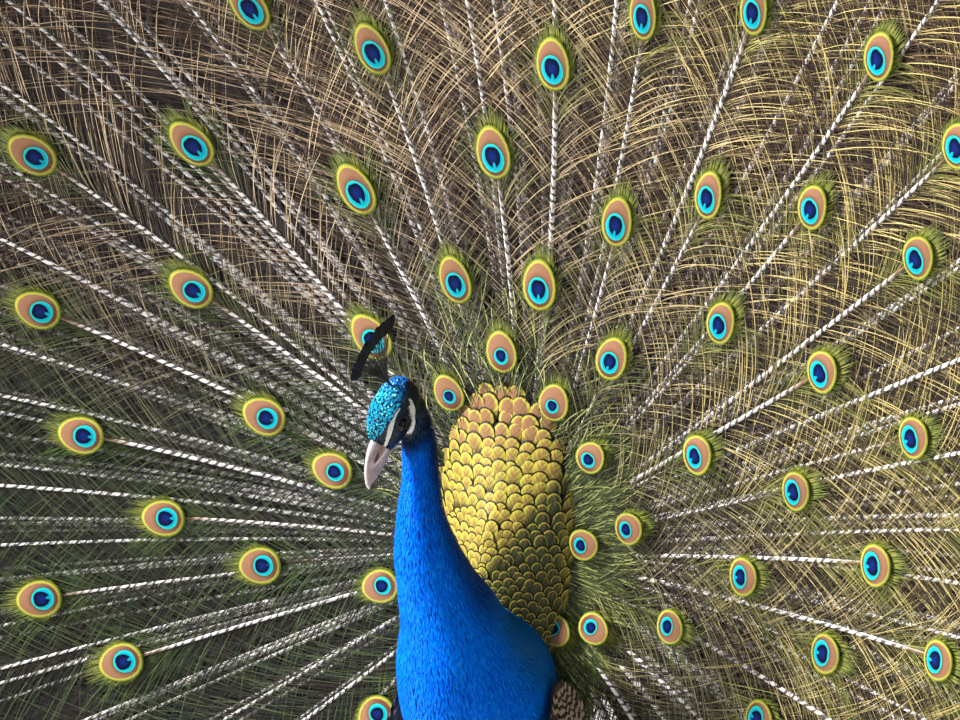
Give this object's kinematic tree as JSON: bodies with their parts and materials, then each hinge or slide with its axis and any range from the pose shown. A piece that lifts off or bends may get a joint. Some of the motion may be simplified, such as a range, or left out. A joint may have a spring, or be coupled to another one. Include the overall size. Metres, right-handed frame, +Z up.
{
  "type": "peacock",
  "caption": "Life-size male Indian peafowl standing in display, train fanned and dished forward, neck raised and head bowed to its right.",
  "frame": {"origin": "on the floor under the centre of the bird's box, the train and the tail included", "axes": "+Z up, the bird faces -Y, +X is the bird's left side"},
  "size_m": [2.3736, 0.6355, 1.7468],
  "materials": {
    "head": "small curled blue crown feathers, bare white cheek stripes, blue-black face",
    "neck": "satin cobalt blue, fine hair-like feathers",
    "body": "dark blue-green feathers with a satin sheen",
    "shield": "overlapping gold-green scale feathers with thin dark edges",
    "train": "loose bronze-green barbs, white shafts, turquoise and navy eye spots",
    "tail": "stiff matte grey-brown feathers",
    "vent": "soft grey-brown down",
    "wing_coverts": "buff with fine black bars, matte",
    "wing_flight": "plain rufous, matte",
    "thigh": "soft buff-brown feathers",
    "leg": "grey-brown scaled skin",
    "claw": "dark horn",
    "bill": "pinkish grey horn, paler on the ridge",
    "eye": "dark brown, wet gloss",
    "crest": "bare dark quills with blue-black spatulate tips"
  },
  "bodies": {
    "root": {"back_shield": "shield", "bill_lower": "bill", "bill_upper": "bill", "breast": "neck", "claw_left_1": "claw", "claw_left_2": "claw", "claw_left_3": "claw", "claw_left_4": "claw", "claw_right_1": "claw", "claw_right_2": "claw", "claw_right_3": "claw", "claw_right_4": "claw", "crest": "crest", "eye_left": "eye", "eye_right": "eye", "foot_left": "leg", "foot_right": "leg", "head": "head", "neck_lower": "neck", "neck_middle": "neck", "neck_upper": "neck", "rump": "body", "shank_left": "leg", "shank_right": "leg", "tail": "tail", "thigh_left": "thigh", "thigh_right": "thigh", "train_00": "train", "train_01": "train", "train_02": "train", "train_03": "train", "train_04": "train", "train_05": "train", "train_06": "train", "train_07": "train", "train_08": "train", "train_09": "train", "train_10": "train", "train_11": "train", "train_12": "train", "train_13": "train", "train_14": "train", "trunk": "body", "vent": "vent", "wing_coverts_left": "wing_coverts", "wing_coverts_right": "wing_coverts", "wing_flight_left": "wing_flight", "wing_flight_right": "wing_flight"}
  },
  "joints": []
}
